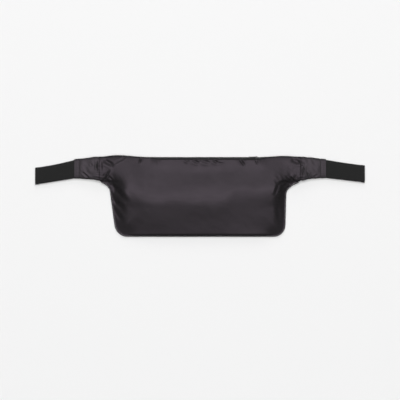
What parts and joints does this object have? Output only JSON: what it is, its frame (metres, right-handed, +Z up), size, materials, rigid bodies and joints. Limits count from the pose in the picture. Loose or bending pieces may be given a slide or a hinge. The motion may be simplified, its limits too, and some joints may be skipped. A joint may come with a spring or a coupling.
{
  "type": "film changing bag",
  "caption": "Light-tight cloth bag inside a bag for handling film in daylight, with a zipped top edge and an elastic-cuffed sleeve at each end.",
  "frame": {"origin": "under the middle of the whole bag, on the surface that it lies on", "axes": "+Z up out of the front panel, +X along the right sleeve, +Y towards the zipped edge"},
  "size_m": [1.32, 0.3266, 0.0582],
  "materials": {
    "outer_nylon": "satin coated nylon",
    "piping": "satin covered cord",
    "lining_cloth": "matt rubberised cotton",
    "ribbed_elastic": "matt ribbed elastic",
    "zip_tape": "woven tape",
    "zip_coil": "moulded nylon coil",
    "zip_metal": "black enamel"
  },
  "bodies": {
    "bag": {"outer_front_panel": "outer_nylon", "outer_back_panel": "outer_nylon", "seam_piping": "piping", "inner_front_panel": "lining_cloth", "inner_back_panel": "lining_cloth", "left_root_elastic": "ribbed_elastic", "right_root_elastic": "ribbed_elastic", "outer_zip_upper_tape": "zip_tape", "outer_zip_lower_tape": "zip_tape", "outer_zip_upper_chain": "zip_coil", "outer_zip_lower_chain": "zip_coil", "outer_zip_top_stop": "zip_metal", "outer_zip_bottom_stop": "zip_metal", "inner_zip_upper_tape": "zip_tape", "inner_zip_lower_tape": "zip_tape", "inner_zip_upper_chain": "zip_coil", "inner_zip_lower_chain": "zip_coil", "inner_zip_top_stop": "zip_metal", "inner_zip_bottom_stop": "zip_metal"},
    "left_sleeve": {"left_outer_sleeve": "outer_nylon", "left_sleeve_lining": "lining_cloth", "left_sleeve_end_band": "outer_nylon", "left_cuff": "ribbed_elastic", "left_cuff_end_binding": "ribbed_elastic"},
    "right_sleeve": {"right_outer_sleeve": "outer_nylon", "right_sleeve_lining": "lining_cloth", "right_sleeve_end_band": "outer_nylon", "right_cuff": "ribbed_elastic", "right_cuff_end_binding": "ribbed_elastic"},
    "outer_slider": {"outer_zip_slider": "zip_metal"},
    "outer_pull": {"outer_zip_pull": "zip_metal"},
    "inner_slider": {"inner_zip_slider": "zip_metal"},
    "inner_pull": {"inner_zip_pull": "zip_metal"}
  },
  "joints": [
    {"name": "left_sleeve_fold", "type": "hinge", "parent": "bag", "child": "left_sleeve", "pos_m": [-0.4086, 0.108, 0.03], "axis": [0, 1, 0], "range_deg": [0, 90]},
    {"name": "right_sleeve_fold", "type": "hinge", "parent": "bag", "child": "right_sleeve", "pos_m": [0.4086, 0.108, 0.03], "axis": [0, -1, 0], "range_deg": [0, 90]},
    {"name": "outer_zip_slide", "type": "slide", "parent": "bag", "child": "outer_slider", "axis": [-1, 0, 0], "range_m": [0, 0.382]},
    {"name": "outer_pull_swing", "type": "hinge", "parent": "outer_slider", "child": "outer_pull", "pos_m": [0.226, 0.15594, 0.0163], "axis": [0, 0.309, -0.9511], "range_deg": [0, 170]},
    {"name": "inner_zip_slide", "type": "slide", "parent": "bag", "child": "inner_slider", "axis": [-1, 0, 0], "range_m": [0, 0.382]},
    {"name": "inner_pull_swing", "type": "hinge", "parent": "inner_slider", "child": "inner_pull", "pos_m": [0.226, 0.13194, 0.0163], "axis": [0, 0.309, -0.9511], "range_deg": [0, 45]}
  ]
}
